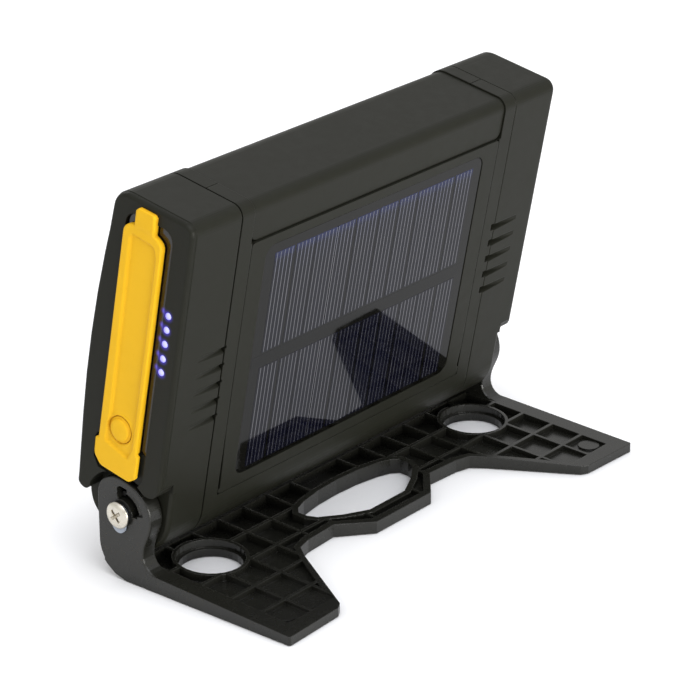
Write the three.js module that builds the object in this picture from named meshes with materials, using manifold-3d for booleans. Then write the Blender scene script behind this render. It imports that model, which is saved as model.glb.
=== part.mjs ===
// Solar phone charger with a lamp face, standing on a folding ribbed stand.
// Millimetres, +Z up. Origin: on the table plane, straight below the middle of the pivot axis.
// X runs along the pivot axis, left is -X. The solar face looks to -Y, the lamp to +Y.
// The housing has its own leaning frame on the pivot axis: y is depth, z is height.
import * as THREE from "three";
import { mergeVertices } from "three/addons/utils/BufferGeometryUtils.js";
import { ConvexGeometry } from "three/addons/geometries/ConvexGeometry.js";
import Module from "manifold-3d";

const wasm = await Module();
wasm.setup();

// ---------------------------------------------------------------- driving dimensions
const PIVOT_Z = 22.6;      // height of the pivot axis over the table
const LEAN_DEG = 10.66;    // lean of the housing over the stand plate
const HALF_LEN = 88.6;     // middle to end face
const SOLAR_Y = -14.36;    // solar face; also the heel's radius about the pivot
const TOP_Z = 105.7;       // top of the housing above the pivot
const WALL = 2.2;          // moulded wall
const SEAM_X = 66.9;       // seam between end caps and middle shells
const SEAM_GAP = 0.3;
const POCKET_X = 82.6;     // inner wall of the end cap's pocket for the stand lug
const FAR = 150;           // cutting tools reach this far, beyond every surface

// stop pin, at an angle raised from -Y about the pivot
const PIN_RADIUS = 0.8;
const PIN_PITCH_RADIUS = 6.05;
const PIN_DEG = 92;

// cap screws, driven from the lamp side
const CAP_SCREW_X = 78;
const CAP_SCREW_Z = { lower: 30, upper: 86 };

// vent grooves: upper edges, height, outer end, and depth and seam notch on each side
const VENT_TOPS = [59.0, 53.1, 47.1, 41.2, 35.2];
const VENT_HEIGHT = 2.1;
const VENT_END_X = 79;
const VENT_LEFT = { depth: 1.3, notch: 0.5 };
const VENT_RIGHT = { depth: 2.3, notch: 1.6 };

// indicators and power button on the left end
const LED_Y = -8.7;
const LED_Z = [73.9, 69.2, 64.4, 59.4, 54.7];
const LED_RADIUS = 1.2;
const BUTTON_Y = 3.6;
const BUTTON_Z = 28.8;
const BUTTON_RADIUS = 4.3;

const MATERIALS = {
  shell: { color: 0x3c3b36, roughness: 0.52, metalness: 0 },
  stand: { color: 0x2c2c2b, roughness: 0.5, metalness: 0 },
  yellow: { color: 0xe6b322, roughness: 0.6, metalness: 0 },
  black: { color: 0x101011, roughness: 0.25, metalness: 0 },
  glass: { color: 0x1a1e2e, roughness: 0.12, metalness: 0.1 },
  steel: { color: 0xc9c7bf, roughness: 0.32, metalness: 1 },
  board: { color: 0x1d5a3a, roughness: 0.5, metalness: 0 },
  led: { color: 0x6f6cf2, roughness: 0.2, metalness: 0 },
  cell: { color: 0x3b6ea5, roughness: 0.45, metalness: 0 },
  clear: { color: 0xdfe6ea, roughness: 0.08, metalness: 0 },
  alu: { color: 0xb9bcc0, roughness: 0.35, metalness: 1 },
  white: { color: 0xe9e8e2, roughness: 0.4, metalness: 0 },
};

// ---------------------------------------------------------------- outlines
const { degToRad } = THREE.MathUtils;
const polar = (a, b, radius, angle) =>
  [a + radius * Math.cos(angle), b + radius * Math.sin(angle)];

const circle = (a, b, radius, count = 20) =>
  Array.from({ length: count }, (_, i) => polar(a, b, radius, (2 * Math.PI * i) / count));

const arc = (a, b, radius, startDeg, endDeg, steps) =>
  Array.from({ length: steps + 1 }, (_, i) =>
    polar(a, b, radius, degToRad(startDeg + ((endDeg - startDeg) * i) / steps)));

// rectangle with rounded corners; lowRadius is for the two bottom corners
function roundRect(left, right, bottom, top, radius, steps = 4, lowRadius = radius) {
  return [
    ...arc(right - lowRadius, bottom + lowRadius, lowRadius, -90, 0, steps),
    ...arc(right - radius, top - radius, radius, 0, 90, steps),
    ...arc(left + radius, top - radius, radius, 90, 180, steps),
    ...arc(left + lowRadius, bottom + lowRadius, lowRadius, 180, 270, steps),
  ];
}

function smooth(points, steps) {
  const vectors = points.map(([a, b]) => new THREE.Vector3(a, b, 0));
  const curve = new THREE.CatmullRomCurve3(vectors, false, "centripetal");
  return curve.getPoints(steps).map(({ x, y }) => [x, y]);
}

// offset of a counter-clockwise outline; a positive distance goes inwards
function inset(outline, distance) {
  const MITRE_LIMIT = 0.35;
  const count = outline.length;
  const direction = (from, to) =>
    new THREE.Vector2(to[0] - from[0], to[1] - from[1]).normalize();
  return outline.map((point, i) => {
    const before = direction(outline[(i + count - 1) % count], point);
    const after = direction(point, outline[(i + 1) % count]);
    const scale = distance / Math.max(MITRE_LIMIT, 1 + before.dot(after));
    return [point[0] - (before.y + after.y) * scale, point[1] + (before.x + after.x) * scale];
  });
}

// ---------------------------------------------------------------- solids
function toSolid(geometry) {
  geometry.deleteAttribute("normal");
  geometry.deleteAttribute("uv");
  const merged = mergeVertices(geometry, 1e-4);
  return new wasm.Manifold(new wasm.Mesh({
    numProp: 3,
    vertProperties: new Float32Array(merged.attributes.position.array),
    triVerts: new Uint32Array(merged.index.array),
  }));
}

function toGeometry(solid) {
  const mesh = solid.getMesh();
  const geometry = new THREE.BufferGeometry();
  const positions = new Float32Array(mesh.vertProperties);
  geometry.setAttribute("position", new THREE.BufferAttribute(positions, 3));
  geometry.setIndex(new THREE.BufferAttribute(new Uint32Array(mesh.triVerts), 1));
  geometry.computeVertexNormals();
  return geometry;
}

// prisms: outline in the two other axes, extruded along the named one
function extrude(outline, depth) {
  const shape = new THREE.Shape(outline.map(([a, b]) => new THREE.Vector2(a, b)));
  return new THREE.ExtrudeGeometry(shape, { depth, bevelEnabled: false });
}
const TO_X = new THREE.Matrix4().set(0, 0, 1, 0, 1, 0, 0, 0, 0, 1, 0, 0, 0, 0, 0, 1);
const TO_Y = new THREE.Matrix4().set(1, 0, 0, 0, 0, 0, -1, 0, 0, 1, 0, 0, 0, 0, 0, 1);
const prismX = (outline, x0, x1) =>
  toSolid(extrude(outline, x1 - x0).applyMatrix4(TO_X).translate(x0, 0, 0));
const prismY = (outline, y0, y1) =>
  toSolid(extrude(outline, y1 - y0).applyMatrix4(TO_Y).translate(0, y1, 0));
const prismZ = (outline, z0, z1) => toSolid(extrude(outline, z1 - z0).translate(0, 0, z0));
const cylX = (y, z, radius, x0, x1, count) => prismX(circle(y, z, radius, count), x0, x1);
const cylY = (x, z, radius, y0, y1, count) => prismY(circle(x, z, radius, count), y0, y1);
const cylZ = (x, y, radius, z0, z1, count) => prismZ(circle(x, y, radius, count), z0, z1);
const box = (x0, x1, y0, y1, z0, z1) =>
  toSolid(new THREE.BoxGeometry(x1 - x0, y1 - y0, z1 - z0)
    .translate((x0 + x1) / 2, (y0 + y1) / 2, (z0 + z1) / 2));
const hull = (points) =>
  toSolid(new ConvexGeometry(points.map((point) => new THREE.Vector3(...point))));

// loft along X through insets of one outline; stations are [x, inset] with x rising
function loftX(outline, stations) {
  const count = outline.length;
  const rings = stations.map(([x, distance]) =>
    inset(outline, distance).map(([y, z]) => [x, y, z]));
  const index = [];
  for (let ring = 0; ring + 1 < rings.length; ring++)
    for (let i = 0; i < count; i++) {
      const here = ring * count + i;
      const next = ring * count + ((i + 1) % count);
      index.push(here, next, next + count, here, next + count, here + count);
    }
  const endFaces = (ring) => THREE.ShapeUtils.triangulateShape(
    ring.map(([, y, z]) => new THREE.Vector2(y, z)), []);
  const last = (rings.length - 1) * count;
  for (const [i, j, k] of endFaces(rings[0])) index.push(i, k, j);
  for (const [i, j, k] of endFaces(rings.at(-1))) index.push(last + i, last + j, last + k);
  const geometry = new THREE.BufferGeometry();
  geometry.setAttribute("position", new THREE.Float32BufferAttribute(rings.flat(2), 3));
  geometry.setIndex(index);
  return toSolid(geometry);
}

const minus = (solid, ...tools) => tools.reduce((rest, tool) => rest.subtract(tool), solid);
const plus = (solid, ...others) => others.reduce((whole, other) => whole.add(other), solid);

// mirror image across the middle plane x = 0
function mirrored(solid) {
  const geometry = toGeometry(solid);
  geometry.applyMatrix4(new THREE.Matrix4().makeScale(-1, 1, 1));
  const index = geometry.index.array;
  for (let k = 0; k < index.length; k += 3) [index[k], index[k + 1]] = [index[k + 1], index[k]];
  return toSolid(geometry);
}

// x range from near to far on the given side (-1 left, 1 right), lower value first
const span = (side, near, far) => (side > 0 ? [near, far] : [-far, -near]);

const object = new THREE.Group();
object.name = "solar_phone_charger";

const housing = new THREE.Group();
housing.position.set(0, 0, PIVOT_Z);
housing.rotation.x = degToRad(LEAN_DEG);

function add(name, solid, material, parent = housing) {
  const mesh = new THREE.Mesh(
    toGeometry(solid), new THREE.MeshStandardMaterial(MATERIALS[material]));
  mesh.name = name;
  parent.add(mesh);
}

// ---------------------------------------------------------------- stand: ribbed plate, two lugs
const FLOOR_Z = 2.2;       // floor of the cored pockets
const THROUGH_Z = [-5, 30];
const RIB_WIDTH = 1.1;
const RIB_X = [11.8, 23.6, 35.4, 47.2, 59.5, 71.7];
const RIB_Y = [-14.5, -27, -39.3, -51.6];
const HOLE = { x: 66.9, y: -17.2, radius: 10.1, boreRadius: 11.1, boreZ: 2.6, ringRadius: 12.2 };
const BOSS = { x: 78.6, y: -57.4, radius: 3.6 };
const LUG_X = 83.0;        // inner face of a lug; its outer face is at HALF_LEN
const plateTop = (y) => 5.8 + 0.0421 * y;

// stop slot and the shallow step round it; radii and angles raised from -Y about the pivot
const SLOT = { inner: 5.0, outer: 7.1, start: 2.8, end: 101 };
const STEP = { inner: SLOT.outer - 0.3, outer: 9.5, start: 9, end: 84 };
const STEP_DEPTH = 1.0;

// right half of the plate's plan (x, y)
const PLATE_HALF = [
  [0, -40.6], [14.0, -40.6], [24.8, -31.7], [38, -32.4], [43.5, -33.8], [47.0, -38.6],
  [62.6, -65.6], [65.0, -67.0], [88.1, -67.9], [HALF_LEN, -67.5], [HALF_LEN, 8.2], [0, 8.2],
];
// plate seen along X (y, z)
const PLATE_SIDE = [
  [-70, 0], [-1.5, 0], [3, 1.2], [6.2, 3.4], [7.4, 4.6], [7.4, plateTop(7.4)],
  [-70, plateTop(-70)],
];
// strip that carries the flat underside past the middle plane (y, z)
const UNDERSIDE_STRIP = [[-4, 0], [2.6, 0], [4.2, 1.7], [4.2, 3], [-4, 3]];
// right half of the cored area (x, y)
const CORED_HALF = [
  [3, -38.2], [13.1, -38.2], [24.0, -29.3], [38.6, -30.0], [44.9, -32.2], [48.8, -38.2],
  [58.5, -54.2], [60.5, -62], [82.3, -62], [82.3, -2.6], [-3, -2.6], [-3, -38.2],
];
// opening through the middle of the plate (x, y)
const MIDDLE_OPENING = [
  [-25.9, -21.6], [-24.4, -24.6], [-17.8, -29.3], [-9, -33.6], [9, -33.6], [17.8, -29.3],
  [24.4, -24.6], [25.9, -21.6], [26, -18.2], [23.6, -16.0], [19, -14.4], [10, -12.9],
  [0, -12.4], [-10, -12.9], [-19, -14.4], [-23.6, -16.0], [-26, -18.2],
];
// lug head from the lamp side over the top to the solar side (y, height about the pivot)
const LUG_HEAD = [
  [9.6, -7], [9.6, -2], [9.6, 3], [9.45, 5.6], [8.9, 7.6], [7.6, 9.5], [5.5, 10.9],
  [2.8, 11.9], [0.2, 12.0], [-2.4, 11.5], [-4.9, 10.7], [-6.8, 9.6], [-8.6, 8.3],
  [-10.2, 6.9], [-11.4, 5.2], [-12.2, 2.9], [-12.5, 0.2], [-12.2, -1.9], [-11.5, -4.0],
  [-10.5, -6.2], [-9.4, -8.8], [-8.9, -11.2], [-9.0, -13.4], [-10.2, -15.6],
  [-12.6, -17.0], [-15.6, -17.5],
];
// rounding of the lug faces (x, inset)
const LUG_STATIONS = [
  [LUG_X, 0.3], [LUG_X + 0.4, 0], [HALF_LEN - 0.7, 0], [HALF_LEN - 0.3, 0.1],
  [HALF_LEN - 0.08, 0.28], [HALF_LEN, 0.5],
];

function standLug() {
  return loftX([
    [-19, 0.4], [-1.5, 0.4], ...arc(-1.2, PIVOT_Z - 11.2, 10.8, -80, -3, 9),
    ...smooth(LUG_HEAD.map(([y, height]) => [y, PIVOT_Z + height]), 46),
    [-19, plateTop(-19)],
  ], LUG_STATIONS);
}

// cored pockets left between ribs, hole rings and the rim of the middle opening
function standPockets() {
  const half = prismZ(CORED_HALF, FLOOR_Z, 20);
  let pockets = plus(half, mirrored(half));
  for (const side of [-1, 1]) {
    pockets = minus(pockets, cylZ(side * HOLE.x, HOLE.y, HOLE.ringRadius, ...THROUGH_Z, 28));
    for (const ribX of RIB_X) {
      const x = side * ribX;
      pockets = minus(pockets,
        box(x - RIB_WIDTH / 2, x + RIB_WIDTH / 2, -70, 0, ...THROUGH_Z));
    }
  }
  for (const y of RIB_Y)
    pockets = minus(pockets, box(-90, 90, y - RIB_WIDTH / 2, y + RIB_WIDTH / 2, ...THROUGH_Z));
  return minus(pockets, prismZ(inset(MIDDLE_OPENING, -2.0), ...THROUGH_Z));
}

const pivotBand = ({ inner, outer, start, end }) => [
  ...arc(0, PIVOT_Z, outer, 180 - start, 180 - end, 10).reverse(),
  ...arc(0, PIVOT_Z, inner, 180 - start, 180 - end, 8),
];

function standFrame() {
  const otherHalf = PLATE_HALF.slice(1, -1).reverse().map(([x, y]) => [-x, y]);
  const lug = standLug();
  let stand = prismZ([...PLATE_HALF, ...otherHalf], -1, 12)
    .intersect(prismX(PLATE_SIDE, -HALF_LEN, HALF_LEN));
  stand = plus(stand, prismX(UNDERSIDE_STRIP, -80, 80), lug, mirrored(lug));
  stand = minus(stand, standPockets(), prismZ(MIDDLE_OPENING, ...THROUGH_Z));
  for (const side of [-1, 1]) {
    const throughLug = span(side, 80, 95);
    stand = minus(stand,
      cylZ(side * HOLE.x, HOLE.y, HOLE.radius, ...THROUGH_Z, 28),
      cylZ(side * HOLE.x, HOLE.y, HOLE.boreRadius, HOLE.boreZ, THROUGH_Z[1], 28));
    stand = plus(stand, cylZ(side * BOSS.x, BOSS.y, BOSS.radius, 1.5, FLOOR_Z + 0.6, 20));
    // pivot bore, stop slot, round widening of the slot, and step
    stand = minus(stand,
      cylX(0, PIVOT_Z, 2.3, ...throughLug, 16),
      prismX(pivotBand(SLOT), ...throughLug),
      cylX(-0.4, PIVOT_Z + 7.9, 1.6, ...throughLug, 20),
      prismX(pivotBand(STEP), ...span(side, HALF_LEN - STEP_DEPTH, 95)));
  }
  return stand;
}
add("stand_frame", standFrame(), "stand", object);
object.add(housing);

// ---------------------------------------------------------------- housing shells
const TUBE_X = SEAM_X - SEAM_GAP / 2;  // half length of the middle shells
const BAR_X = 61.2;                    // half length of the top bridge bar
const BAR_Z = 92.3;                    // lower edge of the bridge bar
const BAR_INSET = 0.5;
const PARTING_Y = 1.0;                 // parting plane of front and rear shells
const PARTING_GAP = 0.12;              // on each side of the plane
const FRAME_X = 60.6;                  // solar frame, half length and height range
const FRAME_Z = [3.3, 91.8];
const LAMP_Z = 49.5;                   // middle height of the lamp

// outer section, counter-clockwise (y, z)
const SECTION = [
  ...arc(0, 0, -SOLAR_Y, 180, 270, 16),
  ...smooth([
    [0, SOLAR_Y], [4, -13.9], [8, -12.8], [11.5, -11.25], [14.4, -9.4], [16.8, -7.2],
    [18.2, -4.6], [18.95, -2.0], [19.3, 1.5], [19.4, 5.7],
  ], 20).slice(1),
  [19.8, 12.7], [20.55, 26.8], [21.0, 40.9], [20.9, 55], [20.3, 69.1], [19.2, 83.2],
  [18.3, 91.5],
  ...arc(11.6, 99.6, 6.1, 4, 90, 8),
  ...arc(SOLAR_Y + 4, TOP_Z - 4, 4, 90, 180, 8),
];

// rounded rectangle about the middle of the lamp (x, z)
const lampRect = (halfWidth, halfHeight, radius) =>
  roundRect(-halfWidth, halfWidth, LAMP_Z - halfHeight, LAMP_Z + halfHeight, radius);

// hollow middle of the housing between two depths, open where the bridge bar goes
function middleShell(y0, y1) {
  const tube = minus(prismX(SECTION, -TUBE_X, TUBE_X), prismX(inset(SECTION, WALL), -100, 100));
  return minus(tube.intersect(box(-100, 100, y0, y1, -50, 150)),
    box(-BAR_X - 0.2, BAR_X + 0.2, -50, 50, BAR_Z - 0.2, 150));
}

// rear shell, the solar side
function rearShell() {
  const [frameLow, frameHigh] = FRAME_Z;
  let shell = minus(middleShell(-50, PARTING_Y - PARTING_GAP),
    box(-FRAME_X - 0.2, FRAME_X + 0.2, -50, SOLAR_Y + WALL + 1,
      frameLow - 0.2, frameHigh + 0.25));
  // lips behind the frame opening carry the solar frame
  const lip = minus(
    box(-TUBE_X, TUBE_X, SOLAR_Y + 4.2, SOLAR_Y + 5.6, frameLow - 6.2, frameHigh + 0.2),
    box(-FRAME_X + 4, FRAME_X - 4, -50, 50, frameLow + 3, 150));
  const sideLip = (side) => box(...span(side, FRAME_X + 0.2, TUBE_X),
    SOLAR_Y + 1, SOLAR_Y + 5, frameLow - 4, frameHigh + 0.2);
  shell = plus(shell, lip, sideLip(-1), sideLip(1))
    .intersect(prismX(SECTION, -TUBE_X, TUBE_X));
  // notches that carry the vent grooves past the seam
  for (const top of VENT_TOPS) shell = minus(shell,
    box(-TUBE_X - 1, -TUBE_X + VENT_LEFT.notch,
      SOLAR_Y - 1, SOLAR_Y + VENT_LEFT.depth, top - 0.9, top),
    box(TUBE_X - VENT_RIGHT.notch, TUBE_X + 1,
      SOLAR_Y - 1, SOLAR_Y + VENT_RIGHT.depth, top - VENT_HEIGHT, top + 0.3));
  return shell;
}
add("rear_shell", rearShell(), "shell");

// front shell, the lamp side, with the lamp window
add("front_shell", minus(middleShell(PARTING_Y + PARTING_GAP, 50),
  prismY(lampRect(60.3, 40.8, 5), 10, 50)), "shell");

// bridge bar over the top, its lower solar-side corners rounded
function bridgeBar() {
  const CORNER = 3;
  const corner = (side) => minus(
    box(...span(side, BAR_X - CORNER, BAR_X + 1), -30, 0, BAR_Z - 1, BAR_Z + CORNER),
    cylY(side * (BAR_X - CORNER), BAR_Z + CORNER, CORNER, -31, 1, 20));
  const tube = minus(prismX(inset(SECTION, BAR_INSET), -BAR_X, BAR_X),
    prismX(inset(SECTION, BAR_INSET + WALL), -100, 100));
  return minus(tube.intersect(box(-BAR_X, BAR_X, -50, 50, BAR_Z, 150)), corner(1), corner(-1));
}
add("bridge_bar", bridgeBar(), "shell");

// ---------------------------------------------------------------- end caps
const CAP_X = SEAM_X + SEAM_GAP / 2;   // inner end of a cap
const PIN_CENTRE = polar(0, 0, PIN_PITCH_RADIUS, degToRad(180 - PIN_DEG - LEAN_DEG));

// outer skin from the seam to the rounded end face (x, inset)
const CAP_STATIONS = [
  [CAP_X, 0.25], [CAP_X + 0.3, 0], [HALF_LEN - 1.9, 0], [HALF_LEN - 1.75, 0.22],
  [HALF_LEN - 1.45, 0.22], [HALF_LEN - 1.0, 0.3], [HALF_LEN - 0.6, 0.46],
  [HALF_LEN - 0.3, 0.7], [HALF_LEN - 0.08, 1.05], [HALF_LEN, 1.4],
];
// rounded heel edge beside the lug pocket (x, inset)
const HEEL_STATIONS = [
  [POCKET_X - 1.6, -0.1], [POCKET_X - 1.4, 0.02], [POCKET_X - 1.0, 0.1],
  [POCKET_X - 0.6, 0.28], [POCKET_X - 0.25, 0.62], [POCKET_X + 0.05, 1.15],
  [POCKET_X + 0.3, 1.8],
];
// arch of the pocket over the lug's head, from the lamp side to the solar side (y, z)
const POCKET_ARCH = [
  [20.6, 8.6], [19.6, 5.6], [18.7, 3.4], [17.2, 2.0], [15.6, 1.65], [14.4, 2.1],
  [13.9, 3.2], [13.35, 5.3], [11.75, 8.0], [9.6, 10.35], [7.6, 11.6], [4.5, 12.65],
  [1.0, 13.05], [-2.5, 13.0], [-5.0, 12.5], [-6.5, 11.8], [-7.8, 11.05], [-9.2, 10.85],
  [-10.6, 11.1], [-12.0, 11.85], [-13.1, 13.1], [-13.8, 14.8], [-14.8, 16.2],
];
// recess below the ports, for the flap anchor (y, z)
const ANCHOR_RECESS = [
  [11.7, 24.2], [12.9, 23.2], [13.6, 21.6], [13.4, 14.6], [11.2, 11.6], [-4.2, 11.6],
  [-5.6, 12.9], [-6.9, 15.4], [-6.9, 24.2],
];

// hollow of the cap, leaving solid the part around the lug pocket and the pivot boss
const capHollow = () => minus(prismX(inset(SECTION, WALL), CAP_X - 1, HALF_LEN - 2.4),
  box(POCKET_X - 2.2, 200, -50, 50, -50, 24), cylX(0, 0, 6, 0, 200, 20));

const lugPocket = () => prismX([
  ...smooth(POCKET_ARCH, 44), [-30, 16.2], [-30, -60], [40, -60], [40, 8.6],
], POCKET_X, 200);

const heelEdge = () =>
  minus(prismX(inset(SECTION, -1), POCKET_X - 1.5, POCKET_X + 0.2),
    loftX(SECTION, HEEL_STATIONS))
    .intersect(plus(box(60, 90, -50, 1, -50, 12.2), box(60, 90, 0, 50, -50, 1.2)));

// tapered groove fading outwards from the seam
const ventGroove = (top, depth) => hull([
  [CAP_X - 0.5, SOLAR_Y - 0.5, top],
  [CAP_X - 0.5, SOLAR_Y + depth, top],
  [CAP_X - 0.5, SOLAR_Y + depth, top - VENT_HEIGHT + 0.5],
  [CAP_X - 0.5, SOLAR_Y - 0.5, top - VENT_HEIGHT - 0.7],
  [VENT_END_X, SOLAR_Y + 0.05, top - 0.2],
  [VENT_END_X, SOLAR_Y + 0.05, top - VENT_HEIGHT + 0.5],
  [VENT_END_X + 0.3, SOLAR_Y - 0.5, top - 0.2],
  [VENT_END_X + 0.3, SOLAR_Y - 0.5, top - VENT_HEIGHT],
]);

// end cap as it lies on the right
function endCap({ depth }) {
  let cap = minus(loftX(SECTION, CAP_STATIONS), capHollow(), lugPocket(), heelEdge(),
    cylX(0, 0, 1.75, 60, 95, 14),
    cylX(...PIN_CENTRE, PIN_RADIUS + 0.2, POCKET_X - 1.6, POCKET_X + 1, 14));
  // thickened wall behind the grooves
  cap = plus(cap, box(CAP_X, VENT_END_X - 2, SOLAR_Y + WALL - 0.4, SOLAR_Y + depth + 1.2,
    VENT_TOPS.at(-1) - 4.5, VENT_TOPS[0] + 1.5));
  for (const top of VENT_TOPS) cap = minus(cap, ventGroove(top, depth));
  // cap screw pillars with head bore and shank bore
  for (const z of Object.values(CAP_SCREW_Z)) {
    cap = plus(cap, cylY(CAP_SCREW_X, z, 3.4, 8.2, 18.6, 16));
    cap = minus(cap, cylY(CAP_SCREW_X, z, 2.7, 16.2, 40, 16),
      cylY(CAP_SCREW_X, z, 1.35, 5, 40, 12));
  }
  return cap;
}

// left cap with port opening, anchor recess, indicator holes and the anchor's blind hole
function leftEndCap() {
  return minus(mirrored(endCap(VENT_LEFT)),
    prismX(roundRect(-7.0, 11.7, 23.6, 100.6, 4, 4, 0.8), -95, -HALF_LEN + 3),
    prismX(ANCHOR_RECESS, -95, -HALF_LEN + 0.9),
    ...LED_Z.map((z) => cylX(LED_Y, z, LED_RADIUS + 0.14, -95, -85, 14)),
    box(-95, -86.6, 0.8, 7.2, 16.8, 21.2));
}
add("left_end_cap", leftEndCap(), "shell");
add("right_end_cap", endCap(VENT_RIGHT), "shell");

// ---------------------------------------------------------------- solar side
const PANEL_X = 53.5;          // panel opening, half length and height range
const PANEL_Z = [7.1, 88.5];
const PANEL_RADIUS = 4;
const PANEL_GAP = 0.25;
const PANEL_RECESS = 0.15;

function solarFrame() {
  return minus(prismY(roundRect(-FRAME_X, FRAME_X, ...FRAME_Z, 1.2, 2), SOLAR_Y, SOLAR_Y + 4.0),
    prismY(roundRect(-PANEL_X, PANEL_X, ...PANEL_Z, PANEL_RADIUS, 5), SOLAR_Y - 1, SOLAR_Y + 2.4),
    box(-3, 3, SOLAR_Y, SOLAR_Y + 6, 78, 82),
    // slivers off the left and right edges
    prismY([[-60.9, 34], [-60.9, 4.6], [-59.7, 5.2]], SOLAR_Y - 1, SOLAR_Y + 1.6),
    prismY([[60.9, 17], [59.9, 6.8], [60.9, 6.2]], SOLAR_Y - 1, SOLAR_Y + 1.6));
}
add("solar_frame", solarFrame(), "shell");
add("solar_panel", prismY(
  roundRect(-PANEL_X + PANEL_GAP, PANEL_X - PANEL_GAP, PANEL_Z[0] + PANEL_GAP,
    PANEL_Z[1] - PANEL_GAP, PANEL_RADIUS - 0.2, 5),
  SOLAR_Y + PANEL_RECESS, SOLAR_Y + 2.25), "glass");

// ---------------------------------------------------------------- lamp side
// block about the middle of the lamp
const lampBox = (halfWidth, y0, y1, halfHeight) =>
  box(-halfWidth, halfWidth, y0, y1, LAMP_Z - halfHeight, LAMP_Z + halfHeight);

// bezel that follows the housing's curve, just proud of it
function lampBezel() {
  return minus(prismX(inset(SECTION, -0.45), -60, 60)
    .intersect(prismY(lampRect(60, 40.5, 4.7), 16.2, 40)),
  prismY(lampRect(55.6, 35.9, 3), 10, 50));
}

function reflector() {
  const corners = (x, y, z0, z1) => [[-x, y, z0], [x, y, z0], [x, y, z1], [-x, y, z1]];
  return minus(lampBox(57.5, 6.6, 13.6, 37.5),
    hull([...corners(55.5, 14, 14, 85), ...corners(50, 6, 20, 79)]));
}

// board with 7 columns and 3 rows of square emitters
function ledBoard() {
  const COLUMN_PITCH = 15.5;
  const ROW_PITCH = 21;
  const HALF = 1.8;
  let board = lampBox(56, 4.8, 6.35, 36);
  for (let i = -3; i <= 3; i++)
    for (let k = -1; k <= 1; k++) {
      const x = i * COLUMN_PITCH;
      const z = LAMP_Z + k * ROW_PITCH;
      board = plus(board, box(x - HALF, x + HALF, 6, 7.1, z - HALF, z + HALF));
    }
  return board;
}

function heatSink() {
  const FIN_PITCH = 12;
  let sink = lampBox(56, 3.1, 4.6, 36);
  for (let i = -4; i <= 4; i++)
    sink = plus(sink, box(i * FIN_PITCH - 0.7, i * FIN_PITCH + 0.7, -3.5, 3.3, 16, 83));
  return sink;
}
add("lamp_bezel", lampBezel(), "black");
add("lamp_lens", prismY(lampRect(58.6, 38.9, 3), 13.9, 15.9), "clear");
add("reflector", reflector(), "white");
add("led_board", ledBoard(), "white");
add("heat_sink", heatSink(), "alu");

// ---------------------------------------------------------------- battery cells in the heel
// each cell's x range, with its terminal at the +X end
[[-65.7, -0.6], [0.6, 65.7]].forEach(([start, end], i) => {
  add(`battery_cell_${i + 1}`, plus(
    cylX(0.6, -1.6, 9.1, start, end - 1.2, 24),
    cylX(0.6, -1.6, 3, end - 1.5, end, 14)), "cell");
});
add("battery_clamp",
  minus(box(-58, 58, -7.6, 12.5, 7.9, 9.3), box(-30, 30, -4, 9, 0, 20)), "black");

// ---------------------------------------------------------------- ports and boards, left end
const USB_Z = [84, 63];
const USB_Y = 3.05;
const MICRO_Z = 45.5;

function portBezel() {
  return minus(
    plus(prismX(roundRect(-6.8, 11.5, 23.8, 100.4, 3.8, 4, 0.7), -87.7, -85.4),
      prismX(roundRect(-6.4, 13.2, 24.6, 101.6, 3), -86.0, -84.9)),
    ...USB_Z.map((z) => box(-95, -80, USB_Y - 3.15, USB_Y + 3.15, z - 6.85, z + 6.85)),
    box(-95, -80, 0.0, 3.7, MICRO_Z - 4.3, MICRO_Z + 4.3),
    cylX(BUTTON_Y, BUTTON_Z, BUTTON_RADIUS + 0.3, -95, -80, 24),
    box(-86.15, -84, -20, 20, 20, 24.55));
}

// sockets: metal can, its cavity, and the contact tongue
const usbSocket = (z) => plus(
  minus(box(-87.3, -73.4, USB_Y - 2.9, USB_Y + 2.9, z - 6.6, z + 6.6),
    box(-90, -75.4, USB_Y - 2.5, USB_Y + 2.5, z - 6.2, z + 6.2)),
  box(-85.9, -75, USB_Y + 0.1, USB_Y + 2.0, z - 5.5, z + 5.5));
const microSocket = () => plus(
  minus(box(-87.3, -80.2, 0.25, 3.4, MICRO_Z - 4.0, MICRO_Z + 4.0),
    box(-90, -81.4, 0.65, 3.0, MICRO_Z - 3.6, MICRO_Z + 3.6)),
  box(-86.3, -81, 1.9, 2.45, MICRO_Z - 2.6, MICRO_Z + 2.6));

add("port_bezel", portBezel(), "black");
USB_Z.forEach((z, i) => add(`usb_a_socket_${i + 1}`, usbSocket(z), "steel"));
add("micro_usb_socket", microSocket(), "steel");
add("main_board", plus(box(-84.6, -61.5, -1.75, -0.15, 26, 96),
  box(-71.5, -64.5, -0.4, 1.8, 48, 56), box(-70, -66, -0.4, 1.4, 72, 78),
  box(-72, -64, -0.4, 3.0, 30, 38)), "board");
add("tact_switch", minus(box(-82.7, -78.7, 0.05, 7.0, BUTTON_Z - 2.0, BUTTON_Z + 3.2),
  cylX(BUTTON_Y, BUTTON_Z, 1.65, -84, -81.0, 14)), "black");
add("switch_plunger", cylX(BUTTON_Y, BUTTON_Z, 1.4, -87.65, -81.8, 14), "white");
add("indicator_board", box(-82.6, -81.2, -11.2, -4.2, 51, 78), "board");
LED_Z.forEach((z, i) => add(`indicator_led_${i + 1}`, plus(
  cylX(LED_Y, z, LED_RADIUS, -88.9, -84.2, 14),
  cylX(LED_Y, z, 1.75, -84.3, -82.8, 14)), "led"));

// ---------------------------------------------------------------- rubber flap and button
const FLAP_X = [-89.5, -87.9];
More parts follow.
